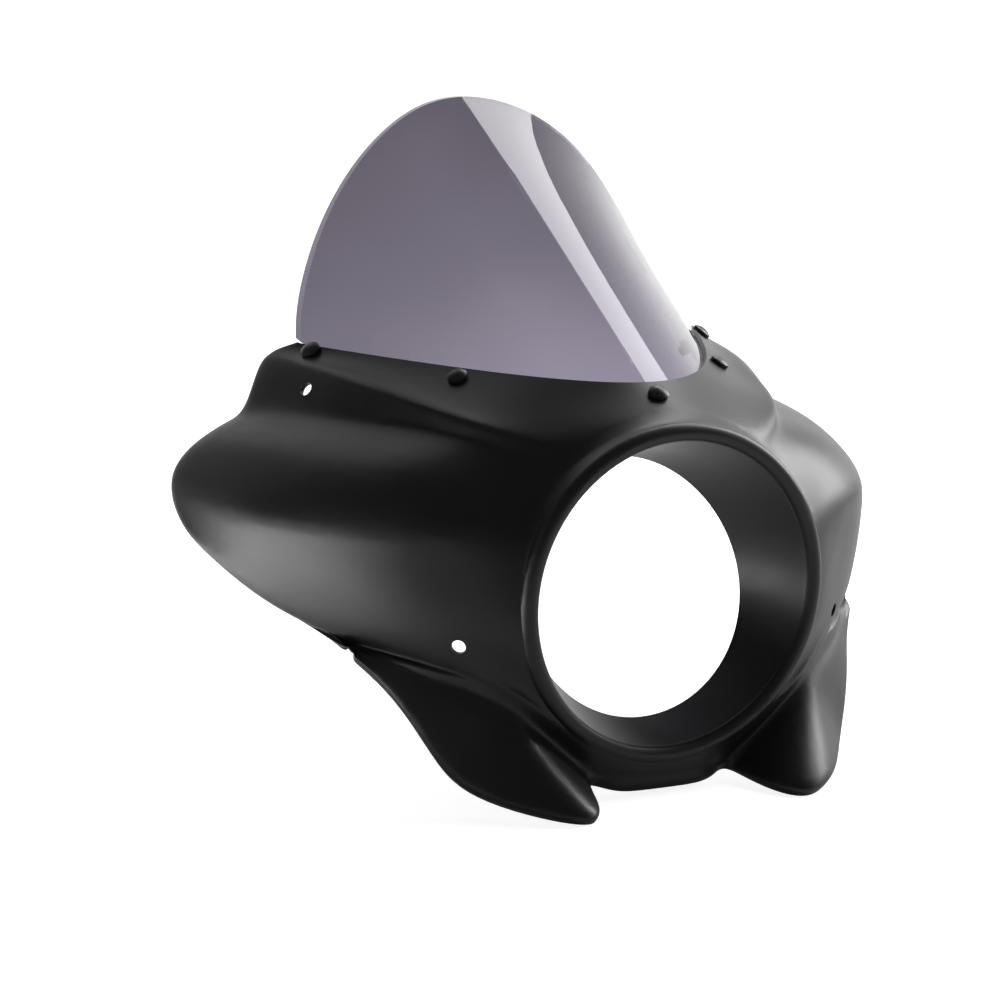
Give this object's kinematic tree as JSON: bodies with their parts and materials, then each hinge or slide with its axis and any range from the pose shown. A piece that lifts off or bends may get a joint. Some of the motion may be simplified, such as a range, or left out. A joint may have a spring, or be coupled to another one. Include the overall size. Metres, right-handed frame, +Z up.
{
  "type": "motorcycle headlamp fairing with windscreen",
  "caption": "Black moulded headlamp fairing with a round lamp collar, side wings and lower fins, and a smoked windscreen screwed along its top edge.",
  "frame": {"origin": "centre of the headlamp collar's front opening", "axes": "+X to the rider's left, +Y back towards the rider along the collar's axis, +Z up"},
  "size_m": [0.5024, 0.3632, 0.4222],
  "materials": {
    "shell_black": "satin",
    "screen_smoke": "gloss",
    "screw_black": "semi-gloss",
    "washer_black": "matte",
    "rubber_black": "matte",
    "nut_steel": "plated"
  },
  "bodies": {
    "root": {"fairing_shell": "shell_black", "windscreen": "screen_smoke", "screw_centre": "screw_black", "head_washer_centre": "washer_black", "rubber_washer_centre": "rubber_black", "nut_centre": "nut_steel", "screw_front_left": "screw_black", "head_washer_front_left": "washer_black", "rubber_washer_front_left": "rubber_black", "nut_front_left": "nut_steel", "screw_front_right": "screw_black", "head_washer_front_right": "washer_black", "rubber_washer_front_right": "rubber_black", "nut_front_right": "nut_steel", "screw_rear_left": "screw_black", "head_washer_rear_left": "washer_black", "rubber_washer_rear_left": "rubber_black", "nut_rear_left": "nut_steel", "screw_rear_right": "screw_black", "head_washer_rear_right": "washer_black", "rubber_washer_rear_right": "rubber_black", "nut_rear_right": "nut_steel"}
  },
  "joints": []
}
